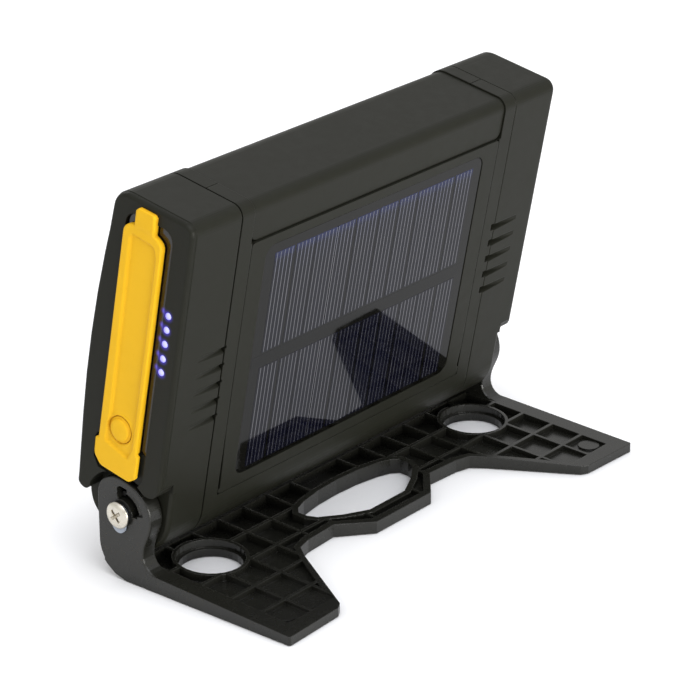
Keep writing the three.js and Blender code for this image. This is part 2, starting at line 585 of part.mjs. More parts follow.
// outlines (y, z)
const FLAP_BODY = [
  [-4.2, 24.3], [11.3, 24.3], [11.3, 95.6], [10.4, 97.5], [-0.6, 97.5], [-3.0, 97.0],
  [-4.2, 95.0],
];
const FLAP_TAB = [[7.3, 96], [7.3, 103.0], [6.6, 103.7], [0.1, 103.7], [-0.6, 103.1], [-0.6, 96]];
const FLAP_FOOT = [
  [-2.2, 13.3], [9.6, 13.6], [12.0, 15.6], [12.8, 18.6], [12.4, 22.2], [11.4, 22.9],
  [-4.6, 22.9], [-5.0, 22.0], [-4.9, 16.0],
];
add("port_flap", minus(
  plus(prismX(FLAP_BODY, ...FLAP_X), prismX(FLAP_TAB, FLAP_X[0] - 0.2, -88.85)),
  cylX(BUTTON_Y, BUTTON_Z, BUTTON_RADIUS + 0.18, -95, -80, 24)), "yellow");
add("flap_anchor", plus(prismX(FLAP_FOOT, -89.6, -88.8),
  box(-89.2, -86.9, 1.1, 6.9, 17.1, 20.9)), "yellow");
add("power_button", plus(cylX(BUTTON_Y, BUTTON_Z, BUTTON_RADIUS, -89.7, FLAP_X[1], 24),
  cylX(BUTTON_Y, BUTTON_Z, 3.6, -90.1, -89, 20)), "yellow");

// ---------------------------------------------------------------- fasteners, drawn on the right
const HEAD_RADIUS = 4.4;
// pivot screw (radius, x)
const SCREW_PROFILE = [
  [0, 70.2], [1.45, 70.2], [1.45, 82.8], [2.0, 82.8], [2.0, HALF_LEN - 0.2],
  [1.5, HALF_LEN - 0.2], [1.5, HALF_LEN + 0.85], [HEAD_RADIUS, HALF_LEN + 0.85],
  [HEAD_RADIUS, HALF_LEN + 1.3], [HEAD_RADIUS - 0.9, HALF_LEN + 2.1],
  [2.0, HALF_LEN + 2.5], [0, HALF_LEN + 2.6],
];

// screw with a cross recess
function pivotScrew() {
  const points = SCREW_PROFILE.map(([radius, x]) => new THREE.Vector2(radius, x));
  const recessX = [HALF_LEN + 1.3, 100];
  return minus(toSolid(new THREE.LatheGeometry(points, 24).rotateZ(-Math.PI / 2)),
    box(...recessX, -0.45, 0.45, -2.3, 2.3), box(...recessX, -2.3, 2.3, -0.45, 0.45));
}

// keyed washer: a ring with a round tab pointing down
function pivotWasher() {
  const washerX = [HALF_LEN + 0.15, HALF_LEN + 0.7];
  return minus(plus(cylX(0, 0, 3.6, ...washerX, 24), cylX(-0.4, -3.4, 2.85, ...washerX, 24)),
    cylX(0, 0, 1.8, 80, 100, 16));
}

const stopPin = () => cylX(...PIN_CENTRE, PIN_RADIUS, POCKET_X - 1.4, HALF_LEN - 2.2, 14);

const capScrew = (z) => minus(
  plus(cylY(CAP_SCREW_X, z, 2.5, 16.4, 18.0, 16), cylY(CAP_SCREW_X, z, 1.15, 8, 16.6, 12)),
  box(CAP_SCREW_X - 1.8, CAP_SCREW_X + 1.8, 17.3, 19, z - 0.35, z + 0.35),
  box(CAP_SCREW_X - 0.35, CAP_SCREW_X + 0.35, 17.3, 19, z - 1.8, z + 1.8));

for (const side of ["left", "right"]) {
  const place = (solid) => (side === "left" ? mirrored(solid) : solid);
  add(`pivot_screw_${side}`, place(pivotScrew()), "steel");
  add(`pivot_washer_${side}`, place(pivotWasher()), "white");
  add(`stop_pin_${side}`, place(stopPin()), "steel");
  for (const [level, z] of Object.entries(CAP_SCREW_Z))
    add(`cap_screw_${side}_${level}`, place(capScrew(z)), "steel");
}

export default object;
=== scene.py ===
"""A solar lamp and charger: a flat housing that tilts on a stand about a pivot along X.

The solar face looks towards -Y and the lamp towards +Y. The ports, the indicators and the
yellow rubber cover are on the -X end. Sizes are in millimetres in the housing frame, as
(x along the pivot, depth, height above the pivot), and make() turns them into world metres.
Materials, stage, lights and camera are in metres.
"""
import bpy
import bmesh
import math
from mathutils import Matrix, Vector
from mathutils.geometry import delaunay_2d_cdt


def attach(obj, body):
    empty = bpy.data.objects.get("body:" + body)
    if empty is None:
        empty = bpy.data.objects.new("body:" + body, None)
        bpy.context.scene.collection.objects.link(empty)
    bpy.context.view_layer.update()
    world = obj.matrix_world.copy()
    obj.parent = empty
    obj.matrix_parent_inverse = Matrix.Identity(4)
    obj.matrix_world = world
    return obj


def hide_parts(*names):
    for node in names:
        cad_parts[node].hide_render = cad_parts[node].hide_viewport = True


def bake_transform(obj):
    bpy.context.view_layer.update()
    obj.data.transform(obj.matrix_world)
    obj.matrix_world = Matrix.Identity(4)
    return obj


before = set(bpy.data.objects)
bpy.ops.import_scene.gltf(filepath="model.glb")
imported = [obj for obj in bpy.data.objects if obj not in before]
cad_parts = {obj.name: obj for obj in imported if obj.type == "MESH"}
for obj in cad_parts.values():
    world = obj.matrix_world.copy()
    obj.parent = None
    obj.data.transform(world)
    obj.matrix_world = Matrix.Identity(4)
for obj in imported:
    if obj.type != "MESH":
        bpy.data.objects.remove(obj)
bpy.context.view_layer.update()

MM = 0.001
PIVOT_HEIGHT = 22.6
LEAN = math.radians(10.66)
HOUSING = Matrix.Translation((0, 0, PIVOT_HEIGHT * MM)) @ Matrix.Rotation(LEAN, 4, "X")


def to_world(x, depth, height):
    return HOUSING @ Vector((x * MM, depth * MM, height * MM))


# Solar laminate
SOLAR_DEPTH = -14.36
CELL_ROWS = ((8.7, 44.6), (49.9, 84.9))       # bottom and top of each row
CELL_TOP_Z = to_world(0, SOLAR_DEPTH, CELL_ROWS[1][1]).z

# Indicators, and the light they throw on the plastic around them
INDICATOR_DEPTH = -8.7
INDICATOR_HEIGHTS = (73.9, 69.2, 64.4, 59.4, 54.7)
INDICATOR_GLOW = [to_world(-88.7, INDICATOR_DEPTH, height) for height in INDICATOR_HEIGHTS]
BEZEL_GLOW = [to_world(-88.1, -6.3, height + 0.5) for height in INDICATOR_HEIGHTS]
VIOLET = (0.10, 0.07, 0.75)


# ------------------------------------------------------------------ shader graphs
MATERIALS = {}                                # every finished material by name


class Graph:
    """A shader node tree with short calls for the nodes used here."""

    def __init__(self, owner, coordinates="Object"):
        owner.use_nodes = True
        self.tree = owner.node_tree
        self.tree.nodes.clear()
        self.place = self.out("TexCoord", output=coordinates)

    def connect(self, node, inputs):
        for key, value in inputs.items():
            socket = node.inputs[key]
            if isinstance(value, bpy.types.NodeSocket):
                self.tree.links.new(value, socket)
            else:
                socket.default_value = (*value, 1) if socket.type == "RGBA" else value

    def node(self, kind, inputs=None, **settings):
        node = self.tree.nodes.new("ShaderNode" + kind)
        for key, value in settings.items():
            setattr(node, key, value)
        self.connect(node, inputs or {})
        return node

    def out(self, kind, inputs=None, output=0, **settings):
        return self.node(kind, inputs, **settings).outputs[output]

    def math(self, operation, first, second, clamp=False):
        return self.out("Math", {0: first, 1: second}, operation=operation, use_clamp=clamp)

    def add(self, first, second, clamp=False):
        return self.math("ADD", first, second, clamp)

    def sub(self, first, second, clamp=False):
        return self.math("SUBTRACT", first, second, clamp)

    def mul(self, first, second, clamp=False):
        return self.math("MULTIPLY", first, second, clamp)

    def sway(self, base, value, amount, clamp=False):
        """The base, moved up and down by a 0 to 1 value."""
        return self.add(base, self.mul(self.sub(value, 0.5), amount), clamp)

    def mix(self, factor, first, second):
        return self.out("Mix", {0: factor, 6: first, 7: second}, output=2, data_type="RGBA")

    def tint(self, tone, mask, amount, colour):
        return self.mix(self.mul(mask, amount), tone, colour)

    def ramp(self, value, low, high):
        return self.out("MapRange", {0: value, 1: low, 2: high},
                        interpolation_type="SMOOTHSTEP")

    def noise(self, scale, detail=2, roughness=0.5, place=None):
        return self.out("TexNoise", {"Vector": place or self.place, "Scale": scale,
                                     "Detail": detail, "Roughness": roughness})

    def streaks(self, scale, detail=2, roughness=0.5, rotation=(0, 0, 0)):
        """Noise drawn out along the axes of small scale."""
        place = self.out("Mapping", {"Vector": self.place, "Rotation": rotation,
                                     "Scale": scale})
        return self.noise(1.0, detail, roughness, place)

    def occlusion(self, distance, samples):
        return self.out("AmbientOcclusion", {"Distance": distance}, output="AO",
                        samples=samples)

    def bump(self, height, strength, distance, **inputs):
        return self.out("Bump", {"Height": height, "Strength": strength,
                                 "Distance": distance, **inputs})

    def edges(self, radius):
        """A mask of the edges, broken up by noise, and the normal that rounds them."""
        rounded_normal = self.out("Bevel", {"Radius": radius}, samples=4)
        flat_normal = self.out("NewGeometry", output="Normal")
        alike = self.out("VectorMath", {0: rounded_normal, 1: flat_normal}, output="Value",
                         operation="DOT_PRODUCT")
        edge = self.ramp(self.sub(1.0, alike), low=0.02, high=0.22)
        breaks = self.noise(scale=420, detail=4, roughness=0.65)
        return self.mul(edge, self.ramp(breaks, low=0.38, high=0.62)), rounded_normal


def start(name):
    material = MATERIALS[name] = bpy.data.materials.new(name)
    return Graph(material)


def finish(net, shader):
    net.node("OutputMaterial", {"Surface": shader.outputs[0]})


def scaled(colour, factor):
    return tuple(channel * factor for channel in colour)


# ------------------------------------------------------------------ kinds of material
def add_glow(net, shader, points, near, far, power):
    """Violet light on the surface, full within near of a point and gone at far."""
    nearest = None
    for point in points:
        distance = net.out("VectorMath", {0: net.place, 1: tuple(point)}, output="Value",
                           operation="DISTANCE")
        nearest = distance if nearest is None else net.math("MINIMUM", nearest, distance)
    falloff = net.sub(1.0, net.ramp(nearest, near, far))
    strength = net.mul(net.mul(falloff, falloff), power)
    net.connect(shader, {"Emission Strength": strength, "Emission Color": VIOLET})


def moulded(name, colour, roughness, grain=3200, depth=0.000016, strength=0.35, wear=0.5,
            wear_gain=1.9, vary=0.13, specular=0.5, coat=0.0, hollow_shade=0.45, glow=None):
    """Injection-moulded plastic with flow variation, scratches and paler worn edges.

    grain, depth and strength shape the fine skin; wear and wear_gain are the cover and
    paleness of the edges; vary is the colour drift; crevice is the painted shade that
    darkens the hollows.
    """
    net = start(name)
    patches = net.noise(scale=28, detail=3, roughness=0.55)
    scuffs = net.noise(scale=240, detail=4, roughness=0.6)
    skin = net.noise(scale=grain, detail=3, roughness=0.55)
    pits = net.out("TexVoronoi", {"Vector": net.place, "Scale": grain * 0.55},
                   feature="SMOOTH_F1")

    tone = net.mix(patches, scaled(colour, 1 - vary), scaled(colour, 1 + vary))
    scuffed = net.ramp(scuffs, low=0.45, high=0.75)
    tone = net.tint(tone, scuffed, amount=0.16, colour=scaled(colour, 1.5))
    specks = net.ramp(net.noise(scale=1700), low=0.70, high=0.78)
    tone = net.tint(tone, specks, amount=0.25, colour=scaled(colour, 2.4))
    worn, normal = net.edges(radius=0.00035)
    tone = net.tint(tone, worn, amount=wear, colour=scaled(colour, wear_gain))
    # painted shade: the colour darkens in the hollows that ambient occlusion finds
    openness = net.occlusion(distance=0.004, samples=4)
    shade = net.mul(net.sub(1.0, openness, clamp=True), hollow_shade)
    tone = net.mix(shade, tone, scaled(colour, 0.15))

    scratches = net.streaks(scale=(30, 900, 900), rotation=(0.4, 0.7, 0.3))
    scratches = net.ramp(scratches, low=0.70, high=0.76)
    dullness = net.sway(roughness, scuffs, amount=0.22)
    dullness = net.sway(dullness, patches, amount=0.12)
    # worn edges and scratches are a little shinier
    dullness = net.sub(dullness, net.mul(worn, 0.08))
    dullness = net.sub(dullness, net.mul(scratches, 0.05), clamp=True)

    # relief: skin and pits, cut by the scratches
    relief = net.add(net.mul(skin, 0.6), net.mul(pits, 0.5))
    relief = net.sub(relief, net.mul(scratches, 0.25))
    shader = net.node("BsdfPrincipled", {
        "Base Color": tone, "Roughness": dullness,
        "Normal": net.bump(relief, strength, depth, Normal=normal),
        # the painted shade also dims the reflections in the hollows
        "Specular IOR Level": net.mul(net.sub(1.0, net.mul(shade, 0.7)), specular),
        "Coat Weight": coat, "Coat Roughness": 0.08, "Coat Normal": normal})
    if glow:
        add_glow(net, shader, **glow)
    finish(net, shader)


def rubber(name, colour):
    """Soft dyed rubber: matte, with painted shade, darker and warmer, in its recesses and
    paler on the edges.
    """
    red, green, blue = colour
    net = start(name)
    patches = net.noise(scale=45, detail=3, roughness=0.6)
    blotches = net.noise(scale=330, detail=4, roughness=0.65)
    skin = net.noise(scale=5200)
    tone = net.mix(patches, scaled(colour, 0.94), scaled(colour, 1.06))
    tone = net.tint(tone, net.ramp(blotches, low=0.5, high=0.8), amount=0.12,
                    colour=(red * 0.86, green * 0.74, blue * 0.6))
    specks = net.ramp(net.noise(scale=900, detail=3, roughness=0.6), low=0.66, high=0.75)
    tone = net.tint(tone, specks, amount=0.16,
                    colour=(red * 0.6, green * 0.42, blue * 0.5))
    # painted shade: darker, warmer orange in the recesses that ambient occlusion finds
    openness = net.occlusion(distance=0.0016, samples=6)
    shade = net.mul(net.sub(1.0, openness), 1.0, clamp=True)
    tone = net.mix(shade, tone, (red * 0.56, green * 0.33, blue * 0.2))
    worn, normal = net.edges(radius=0.0003)
    tone = net.tint(tone, worn, amount=0.35,
                    colour=(min(1, red * 1.1), green * 1.25, blue * 2.6))
    dullness = net.sway(0.56, blotches, amount=0.2)
    bump = net.bump(skin, strength=0.3, distance=0.00002, Normal=normal)
    finish(net, net.node("BsdfPrincipled", {
        "Base Color": tone, "Roughness": dullness, "Normal": bump,
        "Specular IOR Level": 0.22}))


def metal(name, colour, roughness, brushed=0.0, tarnish=0.35):
    """Bare or plated metal: brushed is the depth of its lines, tarnish its dull cover."""
    net = start(name)
    patches = net.noise(scale=160, detail=4, roughness=0.6)
    grain = net.noise(scale=2600, detail=3, roughness=0.6)
    lines = net.streaks(scale=(5200, 5200, 260))
    openness = net.occlusion(distance=0.0012, samples=6)
    tone = net.tint(colour, net.ramp(patches, low=0.4, high=0.7), amount=tarnish,
                    colour=scaled(colour, 0.72))
    red, green, blue = colour
    # painted shade: darker and browner in the hollows that ambient occlusion finds
    tone = net.mix(net.sub(1.0, openness, clamp=True), tone,
                   (red * 0.30, green * 0.24, blue * 0.15))
    normal = net.out("Bevel", {"Radius": 0.0002}, samples=4)
    dullness = net.sway(roughness, grain, amount=0.25, clamp=True)
    relief = net.add(net.mul(lines, brushed), net.mul(grain, 0.4))
    bump = net.bump(relief, strength=0.25, distance=0.00002, Normal=normal)
    finish(net, net.node("BsdfPrincipled", {
        "Base Color": tone, "Metallic": 1.0, "Roughness": dullness, "Normal": bump}))


def smears(net):
    """Roughness added by slow smears on a polished face."""
    smear = net.noise(scale=38, detail=4, roughness=0.6)
    return net.mul(net.ramp(smear, low=0.4, high=0.7), 0.05)


def polished(net, tone):
    """A sheet under the laminate's clear, slightly wavy face."""
    bump = net.bump(net.noise(scale=55), strength=0.10, distance=0.00004)
    finish(net, net.node("BsdfPrincipled", {
        "Base Color": tone, "Roughness": net.add(0.035, smears(net)), "Normal": bump,
        "IOR": 1.33, "Specular IOR Level": 0.5}))


def laminate(name, colour):
    net = start(name)
    tone = net.mix(net.noise(scale=30, detail=3, roughness=0.6),
                   scaled(colour, 0.85), scaled(colour, 1.15))
    specks = net.ramp(net.noise(scale=420, detail=3, roughness=0.6), low=0.62, high=0.72)
    polished(net, net.tint(tone, specks, amount=0.2, colour=scaled(colour, 1.8)))


def cell_silicon():
    """Dark blue cells, drifting in colour, with a bluer band along the top."""
    net = start("cell_silicon")
    height = net.out("SeparateXYZ", {0: net.place}, output=2)
    strips = net.streaks(scale=(110, 4, 4), detail=1)
    drift = net.noise(scale=22, detail=3, roughness=0.6)
    tone = net.mix(strips, (0.0012, 0.0013, 0.0045), (0.0040, 0.0045, 0.0120))
    tone = net.tint(tone, drift, amount=0.5, colour=(0.0048, 0.0048, 0.0062))
    band = net.ramp(height, low=CELL_TOP_Z - 0.0036, high=CELL_TOP_Z - 0.0006)
    polished(net, net.mix(band, tone, (0.010, 0.014, 0.050)))


def cell_fingers():
    """Grey collector fingers, bluer towards the top of the upper row."""
    net = start("cell_fingers")
    streaks = net.streaks(scale=(300, 60, 60), detail=3, roughness=0.6)
    tone = net.mix(net.ramp(streaks, low=0.3, high=0.7),
                   (0.026, 0.027, 0.038), (0.050, 0.050, 0.060))
    height = net.out("SeparateXYZ", {0: net.place}, output=2)
    band = net.ramp(height, low=CELL_TOP_Z - 0.012, high=CELL_TOP_Z)
    tone = net.tint(tone, band, amount=0.45, colour=(0.035, 0.050, 0.13))
    finish(net, net.node("BsdfPrincipled", {
        "Base Color": tone, "Roughness": net.add(0.035, smears(net)), "IOR": 2.1,
        "Specular IOR Level": 0.5}))


def lamp_lens_clear():
    """A thin clear sheet with Fresnel reflections, faint haze and fine hairlines."""
    net = start("lamp_lens_clear")
    smear = net.noise(scale=38, detail=4, roughness=0.6)
    hairlines = net.streaks(scale=(20, 1500, 1500), detail=1, rotation=(0.2, 0.5, 0.9))
    hairlines = net.ramp(hairlines, low=0.72, high=0.78)
    relief = net.add(net.mul(net.noise(scale=60), 0.6), net.mul(hairlines, 0.05))
    bump = net.bump(relief, strength=0.12, distance=0.00004)
    reflection = net.out("Fresnel", {"IOR": 1.56, "Normal": bump})
    dullness = net.add(0.03, net.mul(net.ramp(smear, low=0.4, high=0.7), 0.05))
    through = net.out("BsdfTransparent", {"Color": (0.95, 0.97, 0.98)})
    haze = net.out("BsdfDiffuse", {"Color": (0.5, 0.5, 0.52)})
    shine = net.out("BsdfGlossy", {"Color": (1, 1, 1), "Roughness": dullness,
                                   "Normal": bump})
    haze_cover = net.mul(smear, 0.05)
    body = net.out("MixShader", {0: haze_cover, 1: through, 2: haze})
    # back faces reflect nothing
    behind = net.out("NewGeometry", output="Backfacing")
    reflection = net.mul(reflection, net.sub(1.0, behind))
    finish(net, net.node("MixShader", {0: reflection, 1: body, 2: shine}))


def lit(name, core, rim, power):
    """A clear indicator or emitter, with core colour in the middle and rim colour around."""
    net = start(name)
    facing = net.out("LayerWeight", {"Blend": 0.35}, output="Facing")
    facing = net.sway(facing, net.noise(scale=900), amount=0.12, clamp=True)
    glow = net.mix(net.ramp(facing, low=0.10, high=0.55), core, rim)
    strength = net.mul(power, net.sub(1.15, facing))
    finish(net, net.node("BsdfPrincipled", {
        "Base Color": (0.2, 0.2, 0.5), "Roughness": 0.12, "Emission Color": glow,
        "Emission Strength": strength}))


# ------------------------------------------------------------------ materials
HOUSING_SKIN = dict(colour=(0.0152, 0.0155, 0.0112), roughness=0.40, specular=0.13,
                    hollow_shade=0.28)
GLOSS_SKIN = dict(grain=900, depth=0.000004, strength=0.2, wear=0.3, vary=0.1, coat=0.4)

moulded("housing_plastic", **HOUSING_SKIN)
moulded("housing_plastic_glow", **HOUSING_SKIN,
        glow=dict(points=INDICATOR_GLOW + BEZEL_GLOW, near=0.0008, far=0.0027, power=0.55))
moulded("stand_plastic", colour=(0.0120, 0.0120, 0.0095), roughness=0.27, grain=2600,
        hollow_shade=0.5)
moulded("gloss_black", colour=(0.0060, 0.0060, 0.0066), roughness=0.16, **GLOSS_SKIN)
moulded("gloss_black_bezel", colour=(0.0055, 0.0055, 0.0062), roughness=0.14, **GLOSS_SKIN,
        glow=dict(points=BEZEL_GLOW, near=0.0003, far=0.0018, power=0.8))
laminate("laminate_backing", colour=(0.0032, 0.0031, 0.0022))
laminate("laminate_ribbon", colour=(0.0022, 0.0022, 0.0016))
lit("lamp_emitter", core=(0.42, 0.36, 0.12), rim=(0.30, 0.25, 0.09), power=0.0)
moulded("inner_black", colour=(0.012, 0.012, 0.012), roughness=0.5)
moulded("natural_nylon", colour=(0.34, 0.38, 0.45), roughness=0.42, wear=0.1,
        wear_gain=1.1, vary=0.05)
moulded("white_board", colour=(0.70, 0.70, 0.66), roughness=0.4, grain=1500, wear=0.2,
        wear_gain=0.8, vary=0.06)
moulded("green_board", colour=(0.022, 0.13, 0.055), roughness=0.35, grain=1500, wear=0.3)
moulded("cell_wrap", colour=(0.03, 0.13, 0.34), roughness=0.3, grain=700, wear=0.3,
        vary=0.08, coat=0.3)
rubber("yellow_rubber", colour=(0.82, 0.465, 0.008))
metal("screw_nickel", colour=(0.80, 0.76, 0.66), roughness=0.30)
metal("screw_dark", colour=(0.14, 0.14, 0.14), roughness=0.42)
metal("socket_steel", colour=(0.66, 0.66, 0.66), roughness=0.28, brushed=0.6)
metal("bare_aluminium", colour=(0.66, 0.67, 0.68), roughness=0.36, brushed=1.0)
metal("reflector_silver", colour=(0.86, 0.86, 0.84), roughness=0.10, tarnish=0.1)
lit("indicator_lit", core=(0.50, 0.50, 0.98), rim=(0.10, 0.07, 0.80), power=0.95)
lamp_lens_clear()
cell_silicon()
cell_fingers()


# ------------------------------------------------------------------ mesh helpers
def smooth(piece, sharp):
    """Smooth shading, with edges over the angle sharp (degrees) kept crisp."""
    mesh = piece.data
    mesh.polygons.foreach_set("use_smooth", [True] * len(mesh.polygons))
    mesh.set_sharp_from_angle(angle=math.radians(sharp))


def weight_normals(piece):
    piece.modifiers.new("normals", "WEIGHTED_NORMAL").keep_sharp = True


def make(name, points, faces, material, body=None, sharp=32, weighted=True):
    """A piece from points in the housing frame."""
    mesh = bpy.data.meshes.new(name)
    mesh.from_pydata([tuple(HOUSING @ (Vector(p) * MM)) for p in points], [], faces)
    work = bmesh.new()
    work.from_mesh(mesh)
    bmesh.ops.remove_doubles(work, verts=work.verts, dist=1e-7)
    bmesh.ops.recalc_face_normals(work, faces=work.faces)
    work.to_mesh(mesh)
    work.free()
    mesh.materials.append(MATERIALS[material])
    piece = bpy.data.objects.new(name, mesh)
    bpy.context.scene.collection.objects.link(piece)
    smooth(piece, sharp)
    if weighted:
        weight_normals(piece)
    if body:
        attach(piece, body)
    return piece


def lathe(name, profile, centre, material, body, segments=56, side=-1, sharp=40):
    """A piece turned about an axis along X. The profile is (distance from x = 0 towards
    the given side, radius), and the centre is (depth, height)."""
    depth, height = centre
    points, faces, rings = [], [], []
    for out, radius in profile:
        count = segments if radius else 1
        rings.append(range(len(points), len(points) + count))
        for i in range(count):
            turn = 2 * math.pi * i / segments
            points.append((side * out, depth + radius * math.cos(turn),
                           height + radius * math.sin(turn)))
    for ring, following in zip(rings, rings[1:]):
        for i in range(segments):
            j = (i + 1) % segments
            if len(ring) == 1:
                faces.append((ring[0], following[i], following[j]))
            elif len(following) == 1:
                faces.append((ring[i], ring[j], following[0]))
            else:
                faces.append((ring[i], ring[j], following[j], following[i]))
    return make(name, points, faces, material, body, sharp=sharp)


def rounded(corners, segments=6):
    """A polygon from corners (x, y, radius), each rounded by an arc."""
    outline = []
    for i, (x, y, radius) in enumerate(corners):
        corner = Vector((x, y))
        back = (Vector(corners[i - 1][:2]) - corner).normalized()
        ahead = (Vector(corners[(i + 1) % len(corners)][:2]) - corner).normalized()
        half = back.angle(ahead) / 2
        reach = radius / math.tan(half)
        centre = corner + (back + ahead).normalized() * (radius / math.sin(half))
        first = math.atan2(*(corner + back * reach - centre).yx)
        last = math.atan2(*(corner + ahead * reach - centre).yx)
        sweep = (last - first + math.pi) % (2 * math.pi) - math.pi
        for j in range(segments + 1):
            turn = first + sweep * j / segments
            outline.append((centre.x + radius * math.cos(turn),
                            centre.y + radius * math.sin(turn)))
    return outline


def inside_distance(polygon, x, y):
    """Distance to the polygon's edge, positive inside and negative outside."""
    nearest, inside = 1e9, False
    for i, (x0, y0) in enumerate(polygon):
        x1, y1 = polygon[(i + 1) % len(polygon)]
        dx, dy = x1 - x0, y1 - y0
        along = ((x - x0) * dx + (y - y0) * dy) / (dx * dx + dy * dy + 1e-12)
        along = max(0.0, min(1.0, along))
        nearest = min(nearest, (x0 + along * dx - x) ** 2 + (y0 + along * dy - y) ** 2)
        if (y0 > y) != (y1 > y) and x < (x1 - x0) * (y - y0) / (y1 - y0) + x0:
            inside = not inside
    return math.sqrt(nearest) * (1 if inside else -1)


def resample(polygon, step):
    points = []
    for (x0, y0), (x1, y1) in zip(polygon, polygon[1:] + polygon[:1]):
        count = max(1, round(math.hypot(x1 - x0, y1 - y0) / step))
        points += [(x0 + (x1 - x0) * i / count, y0 + (y1 - y0) * i / count)
                   for i in range(count)]
    return points


def smoothstep(low, high, value):
    part = max(0.0, min(1.0, (value - low) / (high - low)))
    return part * part * (3 - 2 * part)


# ------------------------------------------------------------------ pieces kept from the CAD
CAD_PIECES = {                                # material: pieces
    "housing_plastic": "rear_shell front_shell bridge_bar right_end_cap solar_frame",
    "housing_plastic_glow": "left_end_cap",
    "stand_plastic": "stand_frame",
    "gloss_black": "lamp_bezel",
    "lamp_lens_clear": "lamp_lens",
    "reflector_silver": "reflector",
    "white_board": "led_board",
    "bare_aluminium": "heat_sink",
    "cell_wrap": "battery_cell_1 battery_cell_2",
    "inner_black": "battery_clamp tact_switch stop_pin_left stop_pin_right",
    "gloss_black_bezel": "port_bezel",
    "socket_steel": "usb_a_socket_1 usb_a_socket_2 micro_usb_socket",
    "green_board": "main_board indicator_board",
    "natural_nylon": "switch_plunger pivot_washer_left pivot_washer_right",
    "screw_dark": "cap_screw_left_lower cap_screw_left_upper cap_screw_right_lower"
                  " cap_screw_right_upper",
}


def dress(piece, material):
    slots = piece.data.materials
    if not slots:
        slots.append(material)
    for i in range(len(slots)):
        slots[i] = material
    smooth(piece, sharp=34)
    weight_normals(piece)


for material_name, piece_names in CAD_PIECES.items():
    for piece_name in piece_names.split():
        dress(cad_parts[piece_name], MATERIALS[material_name])


# ------------------------------------------------------------------ solar laminate
SHEET_HALF = 53.25                            # half the sheet's length along X
SHEET_BOTTOM, SHEET_TOP = 7.35, 88.25
SHEET_CORNER = 3.8
FACE = SOLAR_DEPTH + 0.15                     # outermost surface, on the fingers
LAYER_BACK = FACE + 0.075                     # shared back of the cells and the ribbon
CELL_MARGIN = 0.95                            # cell beyond its outer fingers
FINGER_PITCH = 1.775
FINGER_HALF = 0.17
FINGER_INSET = 0.25                           # finger ends inside the cell's
# strips of cells: x of the first finger, number of fingers
STRIPS = ((-47.7, 5), (-37.8, 5), (-28.5, 6), (-18.7, 5), (-8.95, 6),
          (2.4, 5), (12.1, 5), (21.7, 5), (30.95, 5), (40.85, 5))


def solar_backing():
    outline = rounded([(x, height, SHEET_CORNER) for x, height in (
        (SHEET_HALF, SHEET_BOTTOM), (SHEET_HALF, SHEET_TOP),
        (-SHEET_HALF, SHEET_TOP), (-SHEET_HALF, SHEET_BOTTOM))], segments=8)
    count = len(outline)
    points = [(x, depth, height) for depth in (FACE + 0.07, SOLAR_DEPTH + 2.25)
              for x, height in outline]
    faces = [tuple(range(count)), tuple(range(2 * count - 1, count - 1, -1))]
    faces += [(i, count + i, count + (i + 1) % count, (i + 1) % count)
              for i in range(count)]
    return make("solar_backing", points, faces, "laminate_backing", "housing")


def solar_plates(name, plates, front, back, material):
    """Thin plates (left, right, bottom, top) in one piece, between two depths."""
    points, faces = [], []
    for left, right, bottom, top in plates:
        k = len(points)
        points += [(x, depth, height) for depth in (front, back) for x, height in
                   ((left, bottom), (right, bottom), (right, top), (left, top))]
        faces += [(k, k + 1, k + 2, k + 3), (k + 7, k + 6, k + 5, k + 4)]
        faces += [(k + i, k + 4 + i, k + 4 + (i + 1) % 4, k + (i + 1) % 4)
                  for i in range(4)]
    make(name, points, faces, material, "housing", weighted=False)


backing = solar_backing()
cells, fingers = [], []
for first, count in STRIPS:
    last = first + (count - 1) * FINGER_PITCH
    for bottom, top in CELL_ROWS:
        cells.append((first - CELL_MARGIN, last + CELL_MARGIN, bottom, top))
        for i in range(count):
            x = first + i * FINGER_PITCH
            fingers.append((x - FINGER_HALF, x + FINGER_HALF,
                            bottom + FINGER_INSET, top - FINGER_INSET))
# the ribbon runs between the two rows of cells
ribbon = [(-SHEET_HALF + 0.6, SHEET_HALF - 0.6, 45.3, 49.3)]
solar_plates("solar_ribbon", ribbon, FACE + 0.05, LAYER_BACK, "laminate_ribbon")
solar_plates("solar_cells", cells, FACE + 0.035, LAYER_BACK, "cell_silicon")
solar_plates("solar_fingers", fingers, FACE, FACE + 0.038, "cell_fingers")
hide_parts("solar_panel")


# ------------------------------------------------------------------ rubber port cover
# Flap, foot and tab in one piece. Corners are (depth, height, radius).
COVER_OUTLINE = rounded([
    (-2.4, 13.2, 2.2), (9.6, 13.5, 3.2), (12.5, 16.6, 3.0), (12.6, 22.4, 0.7),
    (11.35, 22.9, 0.5), (11.3, 97.4, 3.4), (7.25, 97.6, 0.35), (7.3, 102.6, 1.0),
    (6.2, 103.7, 0.8), (0.2, 103.7, 0.7), (-0.6, 102.9, 0.6), (-0.6, 97.3, 0.35),
    (-4.15, 95.6, 3.0), (-4.2, 23.7, 0.4), (-4.95, 23.2, 0.5), (-4.95, 15.4, 1.6),
])
RECESS_OUTLINE = rounded([
    (-1.0, 20.6, 0.8), (8.75, 22.8, 1.0), (8.05, 34.4, 3.0), (8.55, 94.8, 1.8),
    (-1.4, 94.2, 2.4), (-2.4, 90.0, 2.0), (-2.5, 24.6, 1.0),
])
RIM_X, RECESS_X = -89.92, -89.16              # outer face at the rim and in the recess
FOOT_BACK_X, FLAP_BACK_X = -88.72, -88.15     # inner face below and above FOOT_BACK_TOP
FOOT_BACK_TOP = 24.0
FOOT_TOP, TAB_BOTTOM = 22.6, 96.8
EDGE_ROUND = 0.45
BUTTON_CENTRE = BUTTON_DEPTH, BUTTON_HEIGHT = 3.6, 28.8
HOLE_RADIUS = 4.46
HOLE_SEGMENTS = 64
ROW_PITCH = 0.866                             # row spacing of the triangular grid, in steps


def from_button(depth, height):
    return math.hypot(depth - BUTTON_DEPTH, height - BUTTON_HEIGHT)


